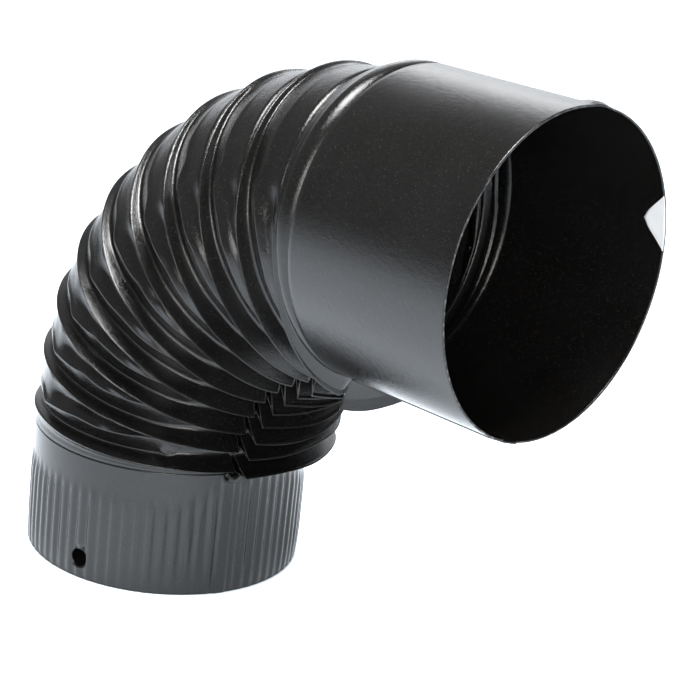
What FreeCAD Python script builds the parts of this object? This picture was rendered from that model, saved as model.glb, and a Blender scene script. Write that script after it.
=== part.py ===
import FreeCAD, Part
import os

import Sketcher
from FreeCAD import Placement, Rotation, Vector

# Flue elbow, 90 degrees: a crimped spigot that pushes into the pipe below, ten pleats
# that take the tube round the bend, and a plain socket collar that the next pipe
# enters.  It is formed from one rolled sheet; each formed zone is a solid of its own,
# and neighbours meet face to face on the crease plane between them.
#
# Frame: origin at the centre of the spigot's open end, +Z up the spigot, and the
# socket opens towards +X.  Lengths are millimetres and angles degrees.

SIZES = [
    ("bore_radius", 60.0, "inside radius of the socket collar"),
    ("sheet_wall", 0.6, "steel sheet"),
    ("collar_length", 74.0, "straight collar, from the bend to the mouth"),
    ("bend_radius", 119.0, "centreline radius of the bend"),
    ("bend_angle", 90.0, "turn of the elbow"),
    ("fold_count", 10, "pleats in the bend"),
    ("first_fold", 3.0, "angle of the first crest above the spigot"),
    ("last_fold", 4.2, "angle of the last crest short of the collar"),
    ("crest_lead", 1.2, "angle from a crease up to its crest"),
    ("crest_trail", 2.8, "angle from a crest down to its panel"),
    ("fold_inset", 0.4, "angle by which the inner face of a pleat is narrower"),
    ("panel_draw", 3.5, "how far the panels are drawn in from the bore"),
    ("heel_rise", 3.4, "crest above panel on the outside of the bend"),
    ("side_rise", 4.2, "crest above panel on the sides"),
    ("throat_rise", 13.4, "crest above panel on the inside of the bend"),
    ("heel_skin", 1.0, "metal under the crest on the outside of the bend"),
    ("side_skin", 1.2, "metal under the crest on the sides"),
    ("throat_skin", 3.5, "metal under the crest on the inside of the bend"),
    ("spigot_length", 53.5, "spigot with its plain neck"),
    ("spigot_slack", 0.7, "socket bore less flute crest, on the radius"),
    ("flute_length", 41.0, "crimped length of the spigot"),
    ("flute_count", 72, "crimps around the spigot"),
    ("flute_depth", 1.1, "crest to root of a crimp"),
    ("flute_land", 0.45, "part of a crimp's pitch that is crest"),
    ("hole_radius", 4.0, "punched fixing hole"),
    ("hole_height", 9.0, "hole above the spigot's end"),
    ("hole_angle", -77.0, "hole round the spigot, from +X towards +Y"),
    ("seam_angle", 15.0, "lock seam, from the throat line towards -Y"),
    ("seam_width", 9.0, "width of the lock seam"),
    ("seam_rise", 1.0, "lock seam above the sheet"),
    ("mound_angle", 9.0, "rim mound, from the top of the mouth towards +Y"),
    ("mound_width", 10.0, "width of the rim mound"),
    ("mound_length", 7.0, "length of the rim mound"),
    ("mound_rise", 1.1, "rim mound above the collar"),
    ("label_angle", 77.0, "label, from the top of the mouth towards +Y"),
    ("label_side", 15.6, "side of the square label"),
    ("label_corner", 2.0, "corner radius of the label"),
    ("label_film", 0.15, "thickness of the label"),
    ("label_lift", 0.05, "how far the label's inner leaf leans off the wall over its side"),
]

doc = FreeCAD.newDocument("flue_elbow")
sheet = doc.addObject("Spreadsheet::Sheet", "Sizes")
for row, (alias, value, meaning) in enumerate(SIZES, start=1):
    sheet.set(f"A{row}", alias)
    sheet.set(f"B{row}", str(value))
    sheet.set(f"C{row}", meaning)
    sheet.setAlias(f"B{row}", alias)
doc.recompute()


def size(alias):
    return float(sheet.get(alias))


def cells(text):
    """Write S.word for Sizes.word, so that the expressions below stay short."""
    return text.replace("S.", "Sizes.")


def bind(obj, **rules):
    """Tie properties to the sheet: a double underscore stands for a dot."""
    for path, rule in rules.items():
        obj.setExpression(path.replace("__", "."), cells(rule))


# Derived rules, written once.
COLLAR_OUTER = "(S.bore_radius + S.sheet_wall)"
PANEL_RADIUS = "(S.bore_radius - S.panel_draw)"
CREST_RADIUS = "(S.bore_radius - S.spigot_slack)"
NECK_RADIUS = "(S.bore_radius - S.spigot_slack - S.flute_depth)"
FOLD_PITCH = "((S.bend_angle - S.first_fold - S.last_fold) / (S.fold_count - 1))"
FOLDS = int(size("fold_count"))


def place_on_bend(obj, angle, shift="0"):
    """Stand a flat section across the bend at an angle, shifted towards the throat."""
    obj.Placement = Placement(Vector(0, 0, 0), Rotation(Vector(0, 1, 0), 30))
    turn = f"({angle}) * 1deg"
    bind(
        obj,
        Placement__Rotation__Angle=turn,
        Placement__Base__x=f"S.bend_radius - (S.bend_radius - ({shift})) * cos({turn})",
        Placement__Base__z=f"S.spigot_length + (S.bend_radius - ({shift})) * sin({turn})",
    )


def round_section(name, angle, radius):
    ring = doc.addObject("Part::Circle", name)
    bind(ring, Radius=radius)
    place_on_bend(ring, angle)
    return ring


def crest_section(name, angle, under):
    """Oval through the heel, side and throat crests; `under` is the metal left out."""
    heel = f"({PANEL_RADIUS} + S.heel_rise - {under['heel']})"
    side = f"({PANEL_RADIUS} + S.side_rise - {under['side']})"
    throat = f"({PANEL_RADIUS} + S.throat_rise - {under['throat']})"
    oval = doc.addObject("Part::Ellipse", name)
    bind(oval, MajorRadius=f"({heel} + {throat}) / 2", MinorRadius=side)
    place_on_bend(oval, angle, f"({throat} - {heel}) / 2")
    return oval


def loft(name, sections):
    body = doc.addObject("Part::Loft", name)
    body.Sections = sections
    body.Solid = True
    body.Ruled = True
    return body


def cut(name, base, tool):
    left = doc.addObject("Part::Cut", name)
    left.Base = base
    left.Tool = tool
    return left


NO_SKIN = {"heel": "0", "side": "0", "throat": "0"}
SKIN = {"heel": "S.heel_skin", "side": "S.side_skin", "throat": "S.throat_skin"}


def pleat(number):
    """One pleat: crease, crest, foot of the crest, and the panel up to the next crease."""
    crest = f"(S.first_fold + {number - 1} * {FOLD_PITCH})"
    start = f"({crest} - S.crest_lead)"
    finish = f"({crest} + {FOLD_PITCH} - S.crest_lead)"
    start_radius = PANEL_RADIUS
    if number == 1:
        start = "0"
        start_radius = NECK_RADIUS
    shells = []
    for side, wall, inset, skin in (
        ("Outer", "0", "0", NO_SKIN),
        ("Inner", "S.sheet_wall", "S.fold_inset", SKIN),
    ):
        tag = f"Pleat{number:02d}{side}"
        rings = [round_section(f"{tag}Crease", start, f"{start_radius} - {wall}")]
        if number > 1 and side == "Inner":
            lead = f"{start} + {inset}"
            rings.append(round_section(f"{tag}Lead", lead, f"{PANEL_RADIUS} - {wall}"))
        rings.append(crest_section(f"{tag}Crest", crest, skin))
        if number < FOLDS:
            foot = f"{crest} + S.crest_trail - {inset}"
            rings.append(round_section(f"{tag}Foot", foot, f"{PANEL_RADIUS} - {wall}"))
            rings.append(round_section(f"{tag}End", finish, f"{PANEL_RADIUS} - {wall}"))
        else:
            rings.append(round_section(f"{tag}End", "S.bend_angle", f"{COLLAR_OUTER} - {wall}"))
        shells.append(loft(f"{tag}Skin", rings))
    shell = cut(f"Pleat{number:02d}", shells[0], shells[1])
    shell.Label = f"pleat_{number:02d}"
    return shell


def origin_plane(body, role):
    for feature in body.Origin.OriginFeatures:
        if feature.Role == role:
            return feature
    raise ValueError(role)


def new_sketch(body, name, role="XY_Plane"):
    sketch = body.newObject("Sketcher::SketchObject", name)
    sketch.AttachmentSupport = [(origin_plane(body, role), "")]
    sketch.MapMode = "FlatFace"
    return sketch


def add_circle(sketch, name, radius):
    line = sketch.addGeometry(Part.Circle(Vector(0, 0, 0), Vector(0, 0, 1), 10), False)
    sketch.addConstraint(Sketcher.Constraint("Coincident", line, 3, -1, 1))
    rule = sketch.addConstraint(Sketcher.Constraint("Radius", line, 10.0))
    sketch.renameConstraint(rule, name)
    bind(sketch, **{f"Constraints__{name}": radius})


def add_block(sketch, inner, outer, width):
    """A rectangle across the sketch's +X axis, from the inner to the outer distance."""
    corners = [Vector(8, -3, 0), Vector(12, -3, 0), Vector(12, 3, 0), Vector(8, 3, 0)]
    first = sketch.GeometryCount
    for at in range(4):
        sketch.addGeometry(Part.LineSegment(corners[at], corners[(at + 1) % 4]), False)
    for at in range(4):
        sketch.addConstraint(
            Sketcher.Constraint("Coincident", first + at, 2, first + (at + 1) % 4, 1)
        )
    for at, kind in enumerate(("Horizontal", "Vertical", "Horizontal")):
        sketch.addConstraint(Sketcher.Constraint(kind, first + at))
    sketch.addConstraint(Sketcher.Constraint("Symmetric", first, 1, first + 2, 2, -1))
    rules = (
        ("near", Sketcher.Constraint("DistanceX", -1, 1, first, 1, 8.0), inner),
        ("far", Sketcher.Constraint("DistanceX", -1, 1, first, 2, 12.0), outer),
        ("across", Sketcher.Constraint("DistanceY", first + 1, 1, first + 1, 2, 6.0), width),
    )
    for name, constraint, value in rules:
        rule = sketch.addConstraint(constraint)
        sketch.renameConstraint(rule, name)
        bind(sketch, **{f"Constraints__{name}": value})


def pad(body, sketch, name, length):
    feature = body.newObject("PartDesign::Pad", name)
    feature.Profile = sketch
    bind(feature, Length=length)
    sketch.Visibility = False
    return feature


def turn_sketch(sketch, angle, lift="0"):
    """Turn a sketch about its body's Z axis, and lift it along that axis."""
    sketch.AttachmentOffset = Placement(Vector(0, 0, 0), Rotation(Vector(0, 0, 1), 30))
    bind(
        sketch,
        AttachmentOffset__Rotation__Angle=f"({angle}) * 1deg",
        AttachmentOffset__Base__z=lift,
    )


def place_on_collar(obj):
    """The collar's own Z runs out of the mouth, and its own +X points down."""
    obj.Placement = Placement(Vector(0, 0, 0), Rotation(Vector(0, 1, 0), 90))
    bind(
        obj,
        Placement__Base__x="S.bend_radius",
        Placement__Base__z="S.spigot_length + S.bend_radius",
    )


def socket_collar():
    body = doc.addObject("PartDesign::Body", "SocketCollar")
    body.Label = "socket_collar"
    ring = new_sketch(body, "CollarRing")
    add_circle(ring, "bore", "S.bore_radius")
    add_circle(ring, "outside", COLLAR_OUTER)
    pad(body, ring, "CollarTube", "S.collar_length")
    seam = new_sketch(body, "CollarSeamEnd")
    buried = "S.bore_radius - S.sheet_wall"
    add_block(seam, buried, f"{COLLAR_OUTER} + S.seam_rise", "S.seam_width")
    turn_sketch(seam, "0 - S.seam_angle")
    pad(body, seam, "CollarSeam", "S.collar_length")
    mound = new_sketch(body, "RimMoundEnd")
    add_block(mound, buried, f"{COLLAR_OUTER} + S.mound_rise", "S.mound_width")
    turn_sketch(mound, "180 - S.mound_angle", "S.collar_length - S.mound_length")
    pad(body, mound, "RimMound", "S.mound_length")
    bore = new_sketch(body, "BoreEnd")
    add_circle(bore, "clear", "S.bore_radius")
    pocket = body.newObject("PartDesign::Pocket", "Bore")
    pocket.Profile = bore
    pocket.Type = "ThroughAll"
    pocket.Reversed = True
    place_on_collar(body)
    return body


def flute_wire(inset):
    """Closed crimped outline: a crest arc, then a root arc, all round the spigot."""
    count = int(size("flute_count"))
    crest = size("bore_radius") - size("spigot_slack") - inset
    root = crest - size("flute_depth")
    pitch = 360.0 / count
    land = size("flute_land") * pitch

    def point(radius, angle):
        return Rotation(Vector(0, 0, 1), angle).multVec(Vector(radius, 0, 0))

    edges = []
    for number in range(count):
        middle = number * pitch
        left = middle - land / 2
        right = middle + land / 2
        after = middle + pitch - land / 2
        top = Part.Arc(point(crest, left), point(crest, middle), point(crest, right))
        dip = Part.Arc(
            point(crest, right), point(root, middle + pitch / 2), point(crest, after)
        )
        edges.append(top.toShape())
        edges.append(dip.toShape())
    return Part.Wire(edges)


def crimped_spigot():
    profile = doc.addObject("Part::Feature", "FluteProfile")
    profile.Shape = Part.makeFace(
        [flute_wire(0.0), flute_wire(size("sheet_wall"))], "Part::FaceMakerBullseye"
    )
    flutes = doc.addObject("Part::Extrusion", "Flutes")
    flutes.Base = profile
    flutes.DirMode = "Custom"
    flutes.Dir = Vector(0, 0, 1)
    flutes.Solid = True
    bind(flutes, LengthFwd="S.flute_length")
    shoulder = doc.addObject("Part::Cone", "NeckShoulder")
    bind(
        shoulder,
        Radius1=CREST_RADIUS,
        Radius2=NECK_RADIUS,
        Height="(S.spigot_length - S.flute_length) / 3",
        Placement__Base__z="S.flute_length",
    )
    neck = doc.addObject("Part::Cylinder", "NeckTube")
    bind(
        neck,
        Radius=NECK_RADIUS,
        Height="S.spigot_length - S.flute_length",
        Placement__Base__z="S.flute_length",
    )
    outside = doc.addObject("Part::Fuse", "NeckOutside")
    outside.Base = shoulder
    outside.Tool = neck
    inside = doc.addObject("Part::Cylinder", "NeckBore")
    bind(
        inside,
        Radius=f"{NECK_RADIUS} - S.sheet_wall",
        Height="S.spigot_length",
        Placement__Base__z="S.flute_length",
    )
    ring = cut("Neck", outside, inside)
    whole = doc.addObject("Part::Fuse", "SpigotShell")
    whole.Base = flutes
    whole.Tool = ring
    punch = doc.addObject("Part::Cylinder", "HolePunch")
    tilt = Rotation(Vector(0, 1, 0), 90)
    punch.Placement = Placement(
        Vector(0, 0, 0), Rotation(Vector(0, 0, 1), size("hole_angle")).multiply(tilt)
    )
    bind(
        punch,
        Radius="S.hole_radius",
        Height="S.bore_radius * 2",
        Placement__Base__z="S.hole_height",
    )
    spigot = cut("CrimpedSpigot", whole, punch)
    spigot.Label = "crimped_spigot"
    return spigot


def label():
    """Square sticker folded over the mouth's edge, one corner in and one out."""
    depth = "S.label_side"
    leaf_out = doc.addObject("Part::Cylinder", "LabelOutside")
    leaf_in = doc.addObject("Part::Cone", "LabelInside")
    tube = doc.addObject("Part::Cylinder", "LabelWall")
    start = f"S.collar_length - {depth}"
    for solid, radius, height, lift in (
        (leaf_out, f"{COLLAR_OUTER} + S.label_film", f"{depth} + S.label_film", start),
        (tube, COLLAR_OUTER, depth, start),
    ):
        bind(solid, Radius=radius, Height=height, Placement__Base__z=lift)
    bind(
        leaf_in,
        Radius1="S.bore_radius - S.label_film - S.label_lift * 2",
        Radius2="S.bore_radius - S.label_film + S.label_lift",
        Height=f"{depth} * 3",
        Placement__Base__z=f"{start} - {depth}",
    )
    bore = doc.addObject("Part::Cylinder", "LabelWallBore")
    bind(bore, Radius="S.bore_radius", Height=depth, Placement__Base__z=start)
    sleeve = cut("LabelSleeve", cut("LabelSkin", leaf_out, leaf_in), cut("LabelGap", tube, bore))
    square = doc.addObject("Part::Box", "LabelSquare")
    reach = "S.bore_radius + S.sheet_wall + S.label_side"
    bind(square, Length="S.label_side", Width="S.label_side", Height=reach)
    outline = doc.addObject("Part::Fillet", "LabelOutline")
    doc.recompute()
    upright = []
    for number, edge in enumerate(square.Shape.Edges, start=1):
        box = edge.BoundBox
        if box.ZLength > 1 and box.XLength < 1e-6 and box.YLength < 1e-6:
            upright.append((number, size("label_corner"), size("label_corner")))
    outline.Base = square
    outline.Edges = upright
    # The square stands on a corner across the rim line, then lies out to the rim.
    half = size("label_side") / 2
    centre = Placement(Vector(-half, -half, 0), Rotation())
    corner_up = Placement(Vector(0, 0, 0), Rotation(Vector(0, 0, 1), 45))
    lie = Placement(Vector(0, 0, size("collar_length")), Rotation(Vector(0, 1, 0), 90))
    around = Placement(
        Vector(0, 0, 0), Rotation(Vector(0, 0, 1), 180 - size("label_angle"))
    )
    outline.Placement = around.multiply(lie).multiply(corner_up).multiply(centre)
    sticker = doc.addObject("Part::Common", "Label")
    sticker.Base = sleeve
    sticker.Tool = outline
    sticker.Label = "label"
    place_on_collar(sticker)
    return sticker


parts = [crimped_spigot()]
for number in range(1, FOLDS + 1):
    parts.append(pleat(number))
parts.append(socket_collar())
parts.append(label())
doc.recompute()

for obj in doc.Objects:
    if "Invalid" in obj.State or "Error" in obj.State:
        raise RuntimeError(f"{obj.Name} failed: {obj.State}")
for obj in parts:
    if obj.Shape.isNull() or not obj.Shape.isValid():
        raise RuntimeError(f"{obj.Label} has no valid shape")
    if len(obj.Shape.Solids) != 1:
        raise RuntimeError(f"{obj.Label} is {len(obj.Shape.Solids)} solids")

os.makedirs("parts", exist_ok=True)
for obj in parts:
    obj.Shape.exportStep(f"parts/{obj.Label}.step")
    box = obj.Shape.BoundBox
    print(f"{obj.Label}: {obj.Shape.Volume:.0f} mm3, "
          f"{box.XLength:.1f} x {box.YLength:.1f} x {box.ZLength:.1f} mm")
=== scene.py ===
import math
import random

import bmesh
import bpy
from mathutils import Matrix, Vector, noise


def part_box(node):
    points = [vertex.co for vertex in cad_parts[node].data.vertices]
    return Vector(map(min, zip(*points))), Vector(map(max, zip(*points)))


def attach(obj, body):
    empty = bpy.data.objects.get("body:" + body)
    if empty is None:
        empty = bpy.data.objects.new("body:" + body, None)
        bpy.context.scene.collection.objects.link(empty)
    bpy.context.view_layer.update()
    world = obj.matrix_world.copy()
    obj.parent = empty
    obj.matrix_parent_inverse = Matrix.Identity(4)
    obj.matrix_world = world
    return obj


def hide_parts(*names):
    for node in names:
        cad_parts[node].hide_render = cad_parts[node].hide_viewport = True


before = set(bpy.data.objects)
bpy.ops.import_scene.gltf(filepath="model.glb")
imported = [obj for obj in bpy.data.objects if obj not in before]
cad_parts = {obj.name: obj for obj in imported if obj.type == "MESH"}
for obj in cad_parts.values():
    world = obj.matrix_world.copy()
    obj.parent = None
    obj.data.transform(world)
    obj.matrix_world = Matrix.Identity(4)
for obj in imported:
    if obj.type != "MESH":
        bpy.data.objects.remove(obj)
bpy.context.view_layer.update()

# Pleated sheet-steel flue elbow.  Lengths are worked out in millimetres and angles
# in degrees; MM turns them into the scene's metres.  "Around" is the angle round the
# tube: 0 at the throat, 90 on the -Y side, 180 at the heel and 270 on the +Y side.
MM = 0.001
TINY = 1e-6
SEED = 11
UP = Vector((0, 0, 1))

collar_low, collar_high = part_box("socket_collar")
_, spigot_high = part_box("crimped_spigot")
BEND = collar_low[0] / MM                    # centreline radius of the bend
NECK_TOP = spigot_high[2] / MM               # where the bend starts on the spigot
MOUTH = collar_high[0] / MM                  # plane of the open socket
AXIS_HEIGHT = BEND + NECK_TOP                # height of the collar's axis
WALL = 0.6
BORE = 60.0
COLLAR = BORE + WALL                         # outside of the collar
PANEL = 56.5                                 # outside of the bend's panels
FLUTE = spigot_high[0] / MM                  # outside of the crimps
NECK = FLUTE - 1.1                           # outside of the spigot's plain neck
WIDEST = 60.8                                # half the bend's width across its crests

FOLDS = 10
FIRST_CREST = 3.0
LAST_CREST = 85.8
PITCH = (LAST_CREST - FIRST_CREST) / (FOLDS - 1)
LEAD = 1.2                                   # angle from a crease up to its crest
BEND_ANGLE = 90.0

SEAM = 15.0                                  # lock seam, off the throat line
SEAM_HALF_WIDTH = 4.5
SEAM_RISE = 0.85
MOUND = 189.0                                # pressed mound in the mouth's rim
MOUND_RISE = 1.15

FLUTES = 72
STEPS_PER_FLUTE = 8
FLUTE_TOP = 41                               # height where the crimps run out

HOLE_AROUND = 77.0                           # punched fixing hole
HOLE_HEIGHT = 9.0
HOLE_RADIUS = 4.0

LABEL_SIDE = 15.6                            # square sticker, standing on a point
LABEL_AROUND = 257.0
FILM = 0.15                                  # gap left for the sticker


def clamp(value, low=0.0, high=1.0):
    return max(low, min(high, value))


def ease(value, start, finish):
    """0 at start, 1 at finish, smooth between."""
    t = clamp((value - start) / (finish - start))
    return t * t * (3 - 2 * t)


def hump(value, middle, width, power=2):
    """1 at the middle, dying away over the width on both sides."""
    return math.exp(-((value - middle) / width) ** power)


def along(value, table):
    """Smooth curve through the (place, amount) pairs of a table."""
    if value <= table[0][0]:
        return table[0][1]
    if value >= table[-1][0]:
        return table[-1][1]
    for k in range(len(table) - 1):
        if value <= table[k + 1][0]:
            break
    x0, y0 = table[k]
    x1, y1 = table[k + 1]

    def slope(j):
        if j <= 0 or j >= len(table) - 1:
            return 0.0
        return (table[j + 1][1] - table[j - 1][1]) / (table[j + 1][0] - table[j - 1][0])

    t = (value - x0) / (x1 - x0)
    reach = x1 - x0
    rise = 2 * t**3 - 3 * t**2 + 1
    lead_in = t**3 - 2 * t**2 + t
    lead_out = t**3 - t**2
    return (rise * y0 + lead_in * reach * slope(k)
            + (1 - rise) * y1 + lead_out * reach * slope(k + 1))


def wobble(x, y, z):
    """Smooth noise about 0."""
    return noise.noise(Vector((x, y, z)))


# ---------------------------------------------------------------- sheet pieces


def bend_point(angle, around, radius):
    """A point of the bend: angle along it from the spigot, around the tube."""
    a = math.radians(angle)
    p = math.radians(around)
    inward = Vector((math.cos(a), 0, -math.sin(a)))
    centre = Vector((BEND - BEND * math.cos(a), 0, NECK_TOP + BEND * math.sin(a)))
    return centre + radius * (math.cos(p) * inward + math.sin(p) * Vector((0, -1, 0)))


def collar_point(x, around, radius):
    p = math.radians(around)
    return Vector((x, -radius * math.sin(p), AXIS_HEIGHT - radius * math.cos(p)))


def spigot_point(z, around, radius):
    p = math.radians(around)
    return Vector((radius * math.cos(p), -radius * math.sin(p), z))


def rounded(corners):
    """Points along a line with its corners rounded, the same number for any shape.

    Each corner is (along, height, radius, samples); the ends aren't rounded.
    Returns (along, height, nearest corner, closeness to it)."""
    most = 0.46                              # share of a side that a corner may take

    def trim(side, radius):
        return side * min(most, radius / max(side.length, TINY))

    points = [(corners[0][0], corners[0][1], 0, 1.0)]
    for k in range(1, len(corners) - 1):
        here = Vector(corners[k][:2])
        before = Vector(corners[k - 1][:2]) - here
        after = Vector(corners[k + 1][:2]) - here
        radius, samples = corners[k][2], corners[k][3]
        start = here + trim(before, radius)
        finish = here + trim(after, radius)
        for step in range(samples):
            t = step / (samples - 1)
            place = (1 - t) ** 2 * start + 2 * t * (1 - t) * here + t * t * finish
            points.append((place.x, place.y, k, 1 - abs(2 * t - 1)))
        if k < len(corners) - 2:
            nearer = Vector(corners[k + 1][:2])
            next_start = nearer + trim(here - nearer, corners[k + 1][2])
            middle = (finish + next_start) / 2
            points.append((middle.x, middle.y, k, 0.0))
    points.append((corners[-1][0], corners[-1][1], len(corners) - 1, 1.0))
    return points


def grid_mesh(name, rows, wear, closed=False):
    """A sheet through rows of points, with a wear value at each point."""
    mesh = bpy.data.meshes.new(name)
    count = len(rows[0])
    verts = [p * MM for row in rows for p in row]
    faces = []
    spans = len(rows) if closed else len(rows) - 1
    for i in range(spans):
        j = (i + 1) % len(rows)
        for k in range(count - 1):
            faces.append((i * count + k, i * count + k + 1,
                          j * count + k + 1, j * count + k))
    mesh.from_pydata(verts, [], faces)
    layer = mesh.attributes.new("wear", "FLOAT", "POINT")
    layer.data.foreach_set("value", [w for row in wear for w in row])
    mesh.update()
    mesh.polygons.foreach_set("use_smooth", [True] * len(mesh.polygons))
    piece = bpy.data.objects.new(name, mesh)
    bpy.context.collection.objects.link(piece)
    return piece


def thicken(piece, wall=WALL, offset=-1.0, rim=0):
    """Give the sheet its wall, inward from the points; rim is the edge's material."""
    solid = piece.modifiers.new("Sheet", "SOLIDIFY")
    solid.thickness = wall * MM
    solid.offset = offset
    solid.use_even_offset = False
    solid.use_rim = True
    solid.material_offset_rim = rim


def from_throat(around):
    """Angle off the throat line, negative past it at the far end of the sheet."""
    return around if around <= 180 else 360 - around


# Each table gives an amount by the angle off the throat.  Heights are above the
# panel, in millimetres, and both sides of the bend share a table unless it says.
NEAR_CREST = [(0, 8.6), (15, 8.8), (30, 8.2), (45, 6.9), (60, 5.5), (75, 4.4),
              (90, 3.7), (110, 3.1), (135, 2.7), (180, 2.3)]
FAR_CREST = [(-15, 12.8), (0, 13.8), (15, 15.2), (30, 15.7), (45, 13.8), (60, 9.6),
             (75, 5.2), (90, 3.7), (110, 3.1), (135, 2.7), (180, 2.3)]
# Angle along the bend from a crease up to its crest.
LEADS = [(0, 1.2), (115, 1.2), (150, 1.5), (180, 1.7)]
# Place of the foot, as a share of the way up to the crest.
FOOT = [(0, 0.35), (110, 0.32), (150, 0.16), (180, 0.08)]
CREST_ROUND = [(-15, 0.5), (90, 0.65), (110, 0.8), (135, 1.2), (160, 2.2), (180, 2.8)]
# The second fold behind each crest: its place, as a share of what is left of the
# pleat, its height and its roundness.
CREASE_PLACE = [(-15, 1.0), (40, 1.0), (46, 0.98), (52, 0.84), (60, 0.70), (72, 0.56),
                (83, 0.55), (92, 0.47), (100, 0.40), (108, 0.36), (118, 0.38),
                (130, 0.38), (150, 0.36), (180, 0.34)]
CREASE_RISE = [(-15, 0.0), (38, 0.0), (46, 0.5), (54, 1.7), (62, 2.0), (72, 1.8),
               (83, 2.1), (95, 1.9), (106, 1.9), (116, 1.3), (130, 1.0), (145, 0.5),
               (160, 0.15), (180, 0.05)]
CREASE_ROUND = [(-15, 1.0), (42, 0.7), (60, 0.5), (125, 0.5), (145, 1.2), (160, 2.5),
                (180, 3.0)]
# The groove between the crest and the second fold, and how long the drop to it is
# for its height.
VALLEY_DEPTH = [(-15, 0.0), (30, -0.2), (45, -1.0), (60, -1.9), (83, -2.2),
                (100, -1.9), (115, -1.3), (130, -0.9), (150, -0.3), (180, 0.1)]
STEEP = [(-15, 0.55), (35, 0.55), (50, 0.34), (130, 0.32), (150, 0.5), (180, 1.6)]
# How deep the panel sags before the next pleat.
SAG = [(-15, 0.0), (48, 0.0), (60, -0.2), (70, -0.4), (83, -1.6), (98, -1.7),
       (110, -0.5), (125, -0.1), (180, -0.1)]
# The last pleat falls to a groove and up to a crease on the collar.
LAST_VALLEY = [(-15, 4.9), (20, 4.6), (35, 4.1), (50, 3.4), (65, 2.8), (90, 2.4),
               (135, 2.6), (180, 3.0)]
LAST_PLACE = [(-15, 0.60), (45, 0.52), (70, 0.40), (88, 0.34), (96, 0.26),
              (106, 0.34), (130, 0.38), (180, 0.45)]
LAST_TALLER = [(-15, 5.4), (15, 5.2), (30, 3.2), (45, 1.2), (60, 0.3), (75, 0.0)]

# Numbers of a section's corners; on the last pleat 4 is the crease on the collar.
CREST_CORNER = 2
SECOND_CORNER = 4


def crest_height(around):
    off = from_throat(around)
    if around > 180:
        return along(off, FAR_CREST)
    # The near end of the sheet dives under the far end at the seam.
    return along(off, NEAR_CREST) * (0.12 + 0.88 * ease(off, 13.5, 18.5))


def fold_line(number, around, habit):
    """Corners of one pleat's section, from its first crease to the next.

    Between the creases come foot, crest, groove, ridge, lip and sag, or, on the last
    pleat, foot, crest, groove and the crease on the collar.  Also returns the length
    of one degree of the bend here and the angle of the first crease."""
    last = number == FOLDS
    off = from_throat(around)
    degree = math.radians(1.0) * (BEND - PANEL * math.cos(math.radians(around)))
    crest = FIRST_CREST + PITCH * (number - 1)
    start = 0.0 if number == 1 else crest - along(off, LEADS)
    finish = BEND_ANGLE if last else crest + PITCH - along(off, LEADS)
    # Past the throat the far fins lean towards the spigot.
    lean = 1.5 * ease(around, 315, 372) if around > 180 else 0.0
    tip = (crest - start - lean) * degree
    span = (finish - start) * degree
    tail = span - tip

    shake = 1 + 0.12 * wobble(number * 3.1, around / 24, 0.3)
    height = crest_height(around) * (1 + habit["tall"]) * shake
    # At the heel the pleats by the spigot stand a little taller than the rest.
    height += 0.15 * (3.5 - number) * ease(off, 100, 140)
    if last:
        height += along(off, LAST_TALLER) * height / (height + 1.0)
    # No crest stands wider than the press lets it.
    edge = abs(math.sin(math.radians(around)))
    bulge = 0.35 * along(off, CREST_ROUND)
    height = min(height, WIDEST / max(edge, 0.5) - PANEL - bulge)

    corners = [(0.0, NECK - PANEL if number == 1 else 0.0, 0, 0)]
    if number == 1:
        climb = max(1.2, (1.3 + 0.6 * ease(off, 90, 180)) * LEAD * degree)
        corners.append((max(0.3, tip - climb), 0.9, 1.6, 4))
    else:
        corners.append((tip * along(off, FOOT), 0.05, 0.6, 3))
    corners.append((tip, height + bulge, along(off, CREST_ROUND) * 1.7, 7))

    if last:
        place = along(off, LAST_PLACE)
        flush = COLLAR - PANEL
        corners.append((tip + tail * place * 0.55, along(off, LAST_VALLEY), 1.2, 5))
        corners.append((tip + tail * place, flush + 0.05, 0.7, 4))
        corners.append((span + 0.4, flush - 0.10, 0, 0))
        return corners, degree, start

    # The second fold wanders to and fro, most of all where the jaws let go of it.
    turned = off + habit["drift"]
    kink = 0.05 * hump(turned, 109, 4.5) - 0.045 * hump(turned, 118, 5.0)
    kink += habit["bow"] * hump(turned, 88, 9.0)
    place = tail * min(0.90, (along(turned, CREASE_PLACE) - kink) / 0.87)
    depth = along(off, VALLEY_DEPTH)
    rise = along(turned, CREASE_RISE) * (1 + habit["ridge"])
    drop = min(along(off, STEEP) * (height - depth), place * 0.55)
    lip = min(1.1 + 0.6 * rise, (tail - place) * 0.45)
    corners.append((tip + drop, depth, min(1.6, drop), 5))
    corners.append((tip + place, rise, along(off, CREASE_ROUND), 5))
    corners.append((tip + place + lip, rise * 0.35, 0.9, 4))
    corners.append((tip + (place + lip + tail) / 2, along(off, SAG), 2.5, 4))
    corners.append((span, 0.0, 0, 0))
    return corners, degree, start


# Marks that the folding jaws leave in a panel: the angle off the throat and its
# spread, the place across the pleat, the width in degrees, the length across, and
# the height with the least and the most that is added to it.
JAW_MARKS = [
    (111, 3, 0.86, 4, 0.16, 0.35, -0.1, 0.2),
    (101, 3, 0.80, 6, 0.16, -0.7, -0.2, 0.2),
    (69, 3, 0.88, 4.5, 0.09, 0.9, -0.2, 0.4),
    (88, 4, 0.60, 5, 0.10, -0.45, -0.3, 0.2),
    (47, 4, 0.55, 2.2, 0.06, 1.1, -0.5, 0.6),
]


def jaw_marks(dice):
    """The marks of one pleat, on its near side and then on its far side."""
    spots = []
    for far_side in (False, True):
        for at, spread, place, wide, long, deep, least, most in JAW_MARKS:
            at += dice.uniform(-spread, spread)
            deep += dice.uniform(least, most)
            spots.append((360 - at if far_side else at, place, wide, long, deep))
    return spots


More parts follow.
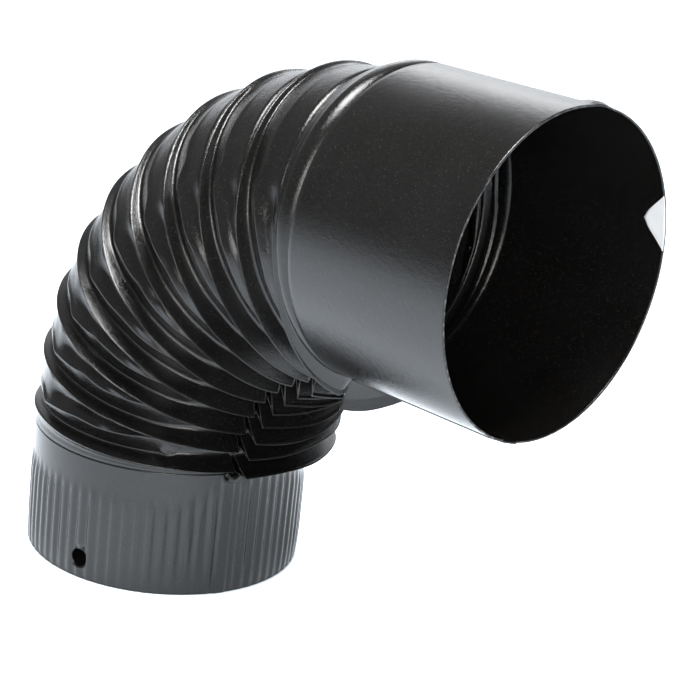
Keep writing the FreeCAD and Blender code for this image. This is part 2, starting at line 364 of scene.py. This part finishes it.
def dent(around, t, spots):
    """Height of the jaws' marks at a place t across the pleat."""
    total = 0.0
    for at, place, wide, long, deep in spots:
        total += deep * math.exp(-((around - at) / wide) ** 2 - ((t - place) / long) ** 2)
    return total


def pleat_rounds():
    """Angles round the tube, closest together near the seam."""
    rounds = [9.0 + 0.5 * k for k in range(28)]
    while rounds[-1] < 350:
        rounds.append(rounds[-1] + 1.75)
    while rounds[-1] < 375:
        rounds.append(rounds[-1] + 1.0)
    rounds[-1] = 375.0
    return rounds


def crease_rub(corner, close, off, last):
    """How far the paint is rubbed off near a corner of a pleat's section."""
    if corner == CREST_CORNER:
        return close * close * (0.75 + 0.25 * ease(off, 60, 130))
    if corner == SECOND_CORNER and last:
        return 0.45 * close
    if corner == SECOND_CORNER:
        return 0.42 * close * ease(off, 44, 60) * (1 - ease(off, 125, 150))
    return 0.0


def pleat(number, dice):
    last = number == FOLDS
    habit = {
        "tall": dice.uniform(-0.05, 0.05),
        "drift": dice.uniform(-4, 4),
        "ridge": dice.uniform(-0.2, 0.3),
        "bow": dice.uniform(-0.05, 0.06),
    }
    spots = jaw_marks(dice)
    rows, wear = [], []
    for around in pleat_rounds():
        corners, degree, start = fold_line(number, around, habit)
        span = corners[-1][0]
        # The near end of the sheet is tucked in under the far end.
        tuck = -1.1 * (1 - ease(around, 11, 15.5))
        off = abs(from_throat(around))
        row, marks = [], []
        for place, height, corner, close in rounded(corners):
            t = place / span
            inside = min(1.0, 6 * t, 6 * (1 - t))
            if corner != CREST_CORNER and not (last and corner > CREST_CORNER):
                height += dent(around, t, spots) * inside
                height += 0.16 * wobble(number * 7 + around / 9, t * 4, 2.0) * inside
            radius = PANEL + height + tuck
            row.append(bend_point(start + place / degree, around, radius))
            marks.append(crease_rub(corner, close, off, last))
        rows.append(row)
        wear.append(marks)
    piece = grid_mesh(f"pleat_{number:02d}_sheet", rows, wear)
    thicken(piece, rim=1)
    return piece


# Places along the collar, as shares of its length from the bend.
COLLAR_STATIONS = (0, 0.003, 0.006, 0.03, 0.05, 0.1, 0.2, 0.3, 0.4, 0.5, 0.6, 0.7, 0.8,
                   0.86, 0.9, 0.92, 0.94, 0.96, 0.975, 0.99, 1.0)


def collar_rounds(seam_half):
    """Angles round the collar, closest together at the edges of the lock seam."""
    edges = []
    for edge in (SEAM - seam_half, SEAM + seam_half):
        edges += [edge + step for step in (-1.2, -0.6, -0.35, -0.1, 0.1, 0.35, 0.6, 1.2)]
    plain = [2.0 * k for k in range(180)]
    return sorted([r for r in plain if min(abs(r - e) for e in edges) > 0.5] + edges)


def collar():
    seam_half = math.degrees(SEAM_HALF_WIDTH / COLLAR)
    stations = [BEND + (MOUTH - BEND) * t for t in COLLAR_STATIONS]
    rows, wear = [], []
    for around in collar_rounds(seam_half):
        row, marks = [], []
        for x in stations:
            t = (x - BEND) / (MOUTH - BEND)
            radius = COLLAR - 0.25 * (1 - ease(t, 0.0, 0.006))
            # The lock seam is a raised strip, pressed flatter at the mouth, with a
            # groove along its open side.
            step = ease(around, SEAM - seam_half - 0.1, SEAM - seam_half + 0.5)
            step *= 1 - ease(around, SEAM + seam_half - 0.35, SEAM + seam_half + 0.1)
            radius += (SEAM_RISE - 0.5 * ease(t, 0.9, 1.0)) * step
            groove = hump(around - SEAM - seam_half, 0.25, 0.3)
            radius -= 0.35 * groove
            mound = hump(around, MOUND, 4.2, 4) * ease(t, 0.89, 0.93)
            mound = mound * (1 - 0.8 * ease(t, 0.975, 1))
            radius += MOUND_RISE * mound
            uneven = 0.12 * (wobble(around / 40, t * 1.5, 5.0) - 0.4)
            radius += uneven * ease(t, 0.02, 0.2) * (1 - ease(t, 0.8, 1))
            row.append(collar_point(x, around, radius))
            marks.append(0.35 * mound + 0.25 * groove)
        rows.append(row)
        wear.append(marks)
    piece = grid_mesh("socket_collar_sheet", rows, wear, closed=True)
    thicken(piece, rim=1)
    return piece


def spigot(dice):
    steps = FLUTES * STEPS_PER_FLUTE
    heights = [0.07, 0.4, 1.2, 4, 8, 12, 16, 20, 24, 28, 32, 36, 38, 39.2, 40.2, 41,
               41.8, 42.8, 44, 45.5, 47, 48.5, 50, 51.5, 52.6, NECK_TOP]
    depth = [0.78 + dice.uniform(-0.16, 0.16) for _ in range(FLUTES)]
    tops = [dice.uniform(-0.7, 0.7) for _ in range(FLUTES)]
    rows, wear = [], []
    for around in [360 * k / steps for k in range(steps)]:
        number = int(around / 360 * FLUTES) % FLUTES
        phase = (around / 360 * FLUTES) % 1
        wave = ease(0.5 - 0.5 * math.cos(2 * math.pi * phase), 0.12, 0.78)
        off = abs((around + 180) % 360 - 180)
        seam = 1 - ease(abs(around - SEAM - 2), 2.4, 3.0)
        # Beside the seam the crimps are mangled; near the throat they run higher.
        rough = ease(around, 20, 22) * (1 - ease(around, 33, 36))
        top = FLUTE_TOP + 10.5 * hump(off, 0, 30, 4) + tops[number]
        row, marks = [], []
        for z in heights:
            crimp = 1 - ease(z, top - 8.0, top + 1.5)
            crest = depth[number] * wave * (1 + 0.35 * rough * wobble(around / 2, 1, z / 14))
            crest *= 0.55 + 0.45 * ease(z, 0, 14)
            radius = NECK + crest * crimp * (1 - seam)
            radius += seam * 0.9 * (1 - ease(z, 50, 53))
            radius -= 0.5 * rough * crimp * clamp(wobble(around / 1.6, 3, z / 16) * 2)
            radius = min(radius, FLUTE)
            radius -= 0.25 * (1 - ease(z, 0, 3))
            row.append(spigot_point(z, around, radius))
            marks.append(0.10 * wave * crimp + 0.15 * (1 - ease(z, 0, 1.5)))
        rows.append(row)
        wear.append(marks)
    shell = grid_mesh("crimped_spigot_sheet", rows, wear, closed=True)
    thicken(shell, rim=1)
    punch_hole(shell)
    return shell


def punch_hole(shell):
    """Cut the fixing hole clean through the sheet with a round punch."""
    mesh = bpy.data.meshes.new("punch")
    tool = bmesh.new()
    bmesh.ops.create_cone(tool, cap_ends=True, segments=48, radius1=HOLE_RADIUS * MM,
                          radius2=HOLE_RADIUS * MM, depth=12 * MM)
    tool.to_mesh(mesh)
    tool.free()
    punch = bpy.data.objects.new("punch", mesh)
    bpy.context.collection.objects.link(punch)
    way = spigot_point(HOLE_HEIGHT, HOLE_AROUND, FLUTE)
    out = Vector((way.x, way.y, 0)).normalized()
    turn = out.to_track_quat("Z", "Y").to_matrix().to_4x4()
    punch.matrix_world = Matrix.Translation(way * MM) @ turn
    bite = shell.modifiers.new("Hole", "BOOLEAN")
    bite.object = punch
    bite.operation = "DIFFERENCE"
    bite.solver = "EXACT"
    bpy.context.view_layer.update()
    seen = shell.evaluated_get(bpy.context.evaluated_depsgraph_get())
    cut = bpy.data.meshes.new_from_object(seen)
    shell.modifiers.clear()
    old = shell.data
    shell.data = cut
    bpy.data.meshes.remove(old)
    bpy.data.objects.remove(punch)
    bpy.data.meshes.remove(mesh)


def hole_burr():
    """Ragged lip of bright metal round the lower side of the punched hole."""
    turns, sides = 64, 8
    rows, wear = [], []
    out = spigot_point(0, HOLE_AROUND, 1.0).normalized()
    across = Vector((-out.y, out.x, 0))
    centre = spigot_point(HOLE_HEIGHT, HOLE_AROUND, 58.0)
    for k in range(turns):
        turn = 2 * math.pi * k / turns
        low = clamp(0.5 - 0.5 * math.cos(turn - math.radians(215)))
        thick = 0.10 + 0.30 * low ** 2 * (1 + 0.5 * wobble(k / 4, 1, 1))
        spoke = across * math.cos(turn) + UP * math.sin(turn)
        ring = centre + spoke * (HOLE_RADIUS + 0.05)
        row = []
        for j in range(sides + 1):
            roll = 2 * math.pi * j / sides
            row.append(ring + spoke * math.cos(roll) * thick * 0.6
                       + out * math.sin(roll) * thick)
        rows.append(row)
        wear.append([0.3 + 0.7 * low] * (sides + 1))
    return grid_mesh("hole_burr", rows, wear, closed=True)


def seam_curl():
    """Corner of the sheet bent over into a small curl at the foot of the seam."""
    steps, turns = 12, 14
    out = spigot_point(0, SEAM + 1, 1.0).normalized()
    rows, wear = [], []
    for k in range(steps + 1):
        t = k / steps
        bow = 1.1 * math.sin(math.pi * t)
        middle = spigot_point(NECK_TOP - 0.9 - bow, SEAM + 3.6 - 5.2 * t,
                              NECK + 1.9 - 0.5 * t)
        row = []
        for j in range(turns + 1):
            roll = math.radians(-70 + 265 * j / turns)
            size = 1.5 - 0.5 * t + 0.15 * wobble(k / 3, j / 4, 7)
            row.append(middle + out * math.cos(roll) * size + UP * math.sin(roll) * size)
        rows.append(row)
        wear.append([0.55 * hump(j, turns - 2, 2) for j in range(turns + 1)])
    piece = grid_mesh("seam_curl", rows, wear)
    thicken(piece, wall=0.5, rim=1)
    return piece


def label_patch():
    """Square sticker folded over the mouth's edge, corners in and out, left blank."""
    half_diagonal = LABEL_SIDE / math.sqrt(2)
    steps, leaf = 40, 10
    rows, wear = [], []
    for u in [-1 + 2 * k / steps for k in range(steps + 1)]:
        width = half_diagonal * u
        # The points of the square are rounded off.
        reach = half_diagonal - abs(width) - 1.5 * hump(width, 0, 2.4)
        reach = max(reach, 0.35)
        turn = LABEL_AROUND + math.degrees(width / BORE)
        row = []
        for inner in (True, False):
            for j in range(leaf + 1):
                depth = reach * (1 - j / leaf if inner else j / leaf)
                if inner:
                    radius = BORE - FILM - 0.25 * (depth / half_diagonal) ** 3
                else:
                    radius = COLLAR + 0.5 * FILM
                x = MOUTH - depth - 0.1 if depth > 0.001 else MOUTH - 0.08
                row.append(collar_point(x, turn, radius))
        rows.append(row)
        wear.append([0.0] * len(row))
    piece = grid_mesh("label_sticker", rows, wear)
    thicken(piece, wall=0.05, offset=0.0)
    return piece


# ------------------------------------------------------------------- materials


class Wire:
    """A node's output, so that shader sums read as ordinary expressions."""

    def __init__(self, finish, socket):
        self.finish = finish
        self.socket = socket

    def maths(self, operation, first, second):
        return self.finish.node("ShaderNodeMath", {"operation": operation},
                                {0: first, 1: second})

    def __add__(self, other):
        return self.maths("ADD", self, other)

    __radd__ = __add__

    def __sub__(self, other):
        return self.maths("SUBTRACT", self, other)

    def __rsub__(self, other):
        return self.maths("SUBTRACT", other, self)

    def __mul__(self, other):
        return self.maths("MULTIPLY", self, other)

    __rmul__ = __mul__

    def ramp(self, low, high):
        """0 below low and 1 above high, smooth between."""
        given = {"Value": self, "From Min": low, "From Max": high}
        settings = {"interpolation_type": "SMOOTHSTEP", "clamp": True}
        return self.finish.node("ShaderNodeMapRange", settings, given)


class Finish:
    """A material under construction."""

    def __init__(self, name):
        self.material = bpy.data.materials.new(name)
        self.material.use_nodes = True
        self.tree = self.material.node_tree
        self.tree.nodes.clear()

    def node(self, kind, settings=None, given=None, output=0):
        made = self.tree.nodes.new(kind)
        for key, value in (settings or {}).items():
            setattr(made, key, value)
        for key, value in (given or {}).items():
            if isinstance(value, Wire):
                self.tree.links.new(value.socket, made.inputs[key])
            else:
                made.inputs[key].default_value = value
        return Wire(self, made.outputs[output])

    def mix(self, factor, first, second):
        return self.node("ShaderNodeMix", {"data_type": "RGBA"},
                         {0: factor, 6: first, 7: second}, 2)

    def place(self):
        return self.node("ShaderNodeTexCoord", output="Object")

    def grain(self, scale, detail=2.0, roughness=0.5):
        return self.node("ShaderNodeTexNoise", None,
                         {"Vector": self.place(), "Scale": scale, "Detail": detail,
                          "Roughness": roughness})

    def cells(self, scale):
        return self.node("ShaderNodeTexVoronoi", None,
                         {"Vector": self.place(), "Scale": scale})

    def mark(self, name):
        return self.node("ShaderNodeAttribute", {"attribute_name": name}, output="Fac")

    def bump(self, height, strength, distance):
        return self.node("ShaderNodeBump", None,
                         {"Height": height, "Strength": strength, "Distance": distance})

    def distance(self, place):
        return self.node("ShaderNodeVectorMath", {"operation": "LENGTH"}, {0: place}, 1)

    def towards(self, place, direction):
        return self.node("ShaderNodeVectorMath", {"operation": "DOT_PRODUCT"},
                         {0: place, 1: direction}, 1)

    def surface(self, **given):
        fixed = {key.replace("_", " "): value for key, value in given.items()}
        shader = self.node("ShaderNodeBsdfPrincipled", None, fixed)
        end = self.tree.nodes.new("ShaderNodeOutputMaterial")
        self.tree.links.new(shader.socket, end.inputs["Surface"])
        return self.material


def grey(level, warm=0.0):
    return (level * (1 + warm), level, level * (1 - warm), 1.0)


def stove_paint():
    """Gloss black paint with a fine grain, rubbed to the steel along the crests."""
    bare_steel = (0.16, 0.150, 0.125, 1.0)
    paint = Finish("gloss_black_paint")
    fine = paint.grain(2600, 2.0)
    cloud = paint.grain(38, 3.0)
    speckle = paint.grain(1700, 1.0).ramp(0.64, 0.76)
    dust = paint.grain(2100, 1.0).ramp(0.45, 0.68)
    rub = paint.mark("wear")
    broken = paint.grain(1100, 3.0, 0.75)
    bare = (rub * 0.62 + broken * 0.95 - 0.84).ramp(0.12, 0.40)
    coat = paint.mix(cloud.ramp(0.3, 0.7), grey(0.0035, 0.06), grey(0.0055, 0.02))
    coat = paint.mix(dust * 0.5, coat, grey(0.014, 0.10))
    coat = paint.mix(speckle * 0.22, coat, grey(0.10, 0.06))
    relief = fine * 1.1 + paint.grain(620, 2.0) * 0.9 + paint.cells(1500) * rub * 0.9
    return paint.surface(
        Base_Color=paint.mix(bare, coat, bare_steel),
        Roughness=0.11 + 0.07 * cloud + 0.04 * fine + 0.10 * bare,
        Metallic=bare * 0.7,
        Normal=paint.bump(relief, 0.50, 0.00015))


def cut_steel():
    """Sheared edge of the sheet: mostly painted over, with specks of steel."""
    edge = Finish("sheared_edge")
    cover = edge.grain(420, 3.0, 0.6).ramp(0.33, 0.52)
    return edge.surface(
        Base_Color=edge.mix(cover, grey(0.22, 0.02), grey(0.02, 0.0)),
        Roughness=0.34 + 0.1 * cover,
        Metallic=0.9 - 0.7 * cover)


def label_film():
    """White matt sticker, faintly mottled."""
    film = Finish("white_label_film")
    mottle = film.grain(90, 3.0)
    return film.surface(
        Base_Color=film.mix(mottle.ramp(0.3, 0.7), grey(0.88), grey(0.93)),
        Roughness=0.42 + 0.1 * mottle,
        Normal=film.bump(film.grain(800), 0.1, 0.0001))


# -------------------------------------------------------------------- assembly

dice = random.Random(SEED)
paint = stove_paint()
edge = cut_steel()
film = label_film()


def fit(piece, node, slot, *materials):
    """Put a piece on the elbow's one body; node is the CAD piece that it replaces."""
    for material in materials:
        piece.data.materials.append(material)
    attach(piece, "root")
    if node:
        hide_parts(node)


for number in range(1, FOLDS + 1):
    fit(pleat(number, dice), f"pleat_{number:02d}", "painted_steel", paint, edge)
fit(collar(), "socket_collar", "painted_steel", paint, edge)
fit(spigot(dice), "crimped_spigot", "painted_steel", paint, edge)
fit(hole_burr(), None, "painted_steel", paint)
fit(seam_curl(), None, "painted_steel", paint, edge)
fit(label_patch(), "label", "label_film", film)


# ----------------------------------------------------------------------- stage

FLOOR_SIZE = 12.0
FLOOR_HEIGHT = -0.0001
BEHIND = (-0.676, 0.737, 0.0)                # directions over the floor
BESIDE = (0.737, 0.676, 0.0)
RIGHT = (0.8055, 0.506, 0.0)


def stage_plane(name, size, height):
    """Pale floor that gives some light of its own round the elbow and behind it: a painted
    glow that lights the elbow.

    It is dark inside the spigot's ring, a painted shadow in its colour and its glow, and its
    glow fades out far off and, as painted shade, on the right."""
    mesh = bpy.data.meshes.new(name)
    half = size / 2
    corners = [(-half, -half, height), (half, -half, height), (half, half, height),
               (-half, half, height)]
    mesh.from_pydata(corners, [], [(0, 1, 2, 3)])
    floor = bpy.data.objects.new(name, mesh)
    bpy.context.collection.objects.link(floor)
    sheet = Finish(name + "_paint")
    mottle = sheet.grain(3.0).ramp(0.3, 0.7)
    where = sheet.place()
    spot = sheet.distance(where)
    beside = sheet.towards(where, BESIDE)
    # A lane straight behind the elbow stays lit.
    aside = (beside * beside).ramp(0.20, 0.75)
    lane = (1 - aside) * sheet.towards(where, BEHIND).ramp(-0.1, 0.3)
    far = spot.ramp(0.40, 1.25) * (1 - lane)
    # The glow dies away on the right of the elbow: painted shade on the floor there.
    right = sheet.towards(where, RIGHT).ramp(0.205, 0.33)
    # Inside the spigot's ring the floor is dark in colour and in glow: a painted shadow.
    outside = spot.ramp(0.0575, 0.0592)
    # The floor's glow: painted light that lights the elbow from below, with the painted
    # shadow and painted shade cut out of it.
    lit = outside * (1 - 0.85 * far) * (1 - 0.9 * right)
    pale = sheet.mix(mottle, (0.84, 0.90, 0.96, 1.0), (0.82, 0.88, 0.95, 1.0))
    mesh.materials.append(sheet.surface(
        Base_Color=sheet.mix(outside, grey(0.02), pale),
        Emission_Color=sheet.mix(lit, grey(0.0), (0.85, 0.93, 1.0, 1.0)),
        Emission_Strength=0.93, Roughness=0.7))


stage_plane("studio_floor", FLOOR_SIZE, FLOOR_HEIGHT)


def area_light(name, place, aim, size, power, colour=(1, 1, 1)):
    light = bpy.data.lights.new(name, "AREA")
    light.shape = "RECTANGLE"
    light.size, light.size_y = size
    light.energy = power
    light.color = colour
    lamp = bpy.data.objects.new(name, light)
    lamp.location = place
    aimed = Vector(aim) - Vector(place)
    lamp.rotation_euler = aimed.to_track_quat("-Z", "Y").to_euler()
    bpy.context.collection.objects.link(lamp)


ELBOW_MIDDLE = (0.08, 0, 0.12)
WARM_WHITE = (1.0, 0.98, 0.95)
area_light("top_softbox", (0.15, -0.15, 1.3), ELBOW_MIDDLE, (0.46, 0.46), 25)
area_light("front_softbox", (1.2, -1.1, 0.7), ELBOW_MIDDLE, (0.7, 0.7), 13, WARM_WHITE)
area_light("side_softbox", (-0.9, 1.1, 0.85), (0.0, 0, 0.12), (0.5, 0.3), 1.5)


def studio_world():
    """A dim studio with one pale wall behind and to the left."""
    world = bpy.data.worlds.new("studio")
    world.use_nodes = True
    sky = world.node_tree
    sky.nodes.clear()
    way = sky.nodes.new("ShaderNodeTexCoord")
    wall = sky.nodes.new("ShaderNodeVectorMath")
    wall.operation = "DOT_PRODUCT"
    wall.inputs[1].default_value = Vector((-0.50, 0.85, 0.10)).normalized()
    sky.links.new(way.outputs["Generated"], wall.inputs[0])
    fade = sky.nodes.new("ShaderNodeValToRGB")
    fade.color_ramp.interpolation = "EASE"
    dim, bright = fade.color_ramp.elements
    dim.position = 0.62
    dim.color = (0.19, 0.19, 0.192, 1.0)
    bright.position = 0.88
    bright.color = (0.90, 0.93, 0.97, 1.0)
    sky.links.new(wall.outputs["Value"], fade.inputs[0])
    glow = sky.nodes.new("ShaderNodeBackground")
    glow.inputs["Strength"].default_value = 1.5
    sky.links.new(fade.outputs[0], glow.inputs["Color"])
    end = sky.nodes.new("ShaderNodeOutputWorld")
    sky.links.new(glow.outputs[0], end.inputs["Surface"])
    return world


bpy.context.scene.world = studio_world()
bpy.context.scene.view_settings.view_transform = "Standard"

# Camera: a long lens a little above and to the right of the spigot, rolled slightly.
AZIMUTH, ELEVATION, ROLL = (math.radians(v) for v in (42.55, 17.89, 6.59))
CAMERA_DISTANCE = 738.4
CAMERA_TARGET = Vector((98.3, 0.0, 116.8))
FOCAL_LENGTH = 1906 * 36 / 700               # for a sensor 36 mm wide

away = Vector((math.sin(AZIMUTH) * math.cos(ELEVATION),
               -math.cos(AZIMUTH) * math.cos(ELEVATION), math.sin(ELEVATION)))
right = (-away).cross(UP).normalized()
up = right.cross(-away)
side = right * math.cos(ROLL) + up * math.sin(ROLL)
crown = up * math.cos(ROLL) - right * math.sin(ROLL)
lens = bpy.data.cameras.new("camera")
lens.lens = FOCAL_LENGTH
lens.clip_start = 0.05
camera = bpy.data.objects.new("camera", lens)
turn = Matrix((side, crown, away)).transposed().to_4x4()
stand = (CAMERA_TARGET + away * CAMERA_DISTANCE) * MM
camera.matrix_world = Matrix.Translation(stand) @ turn
bpy.context.collection.objects.link(camera)
bpy.context.scene.camera = camera
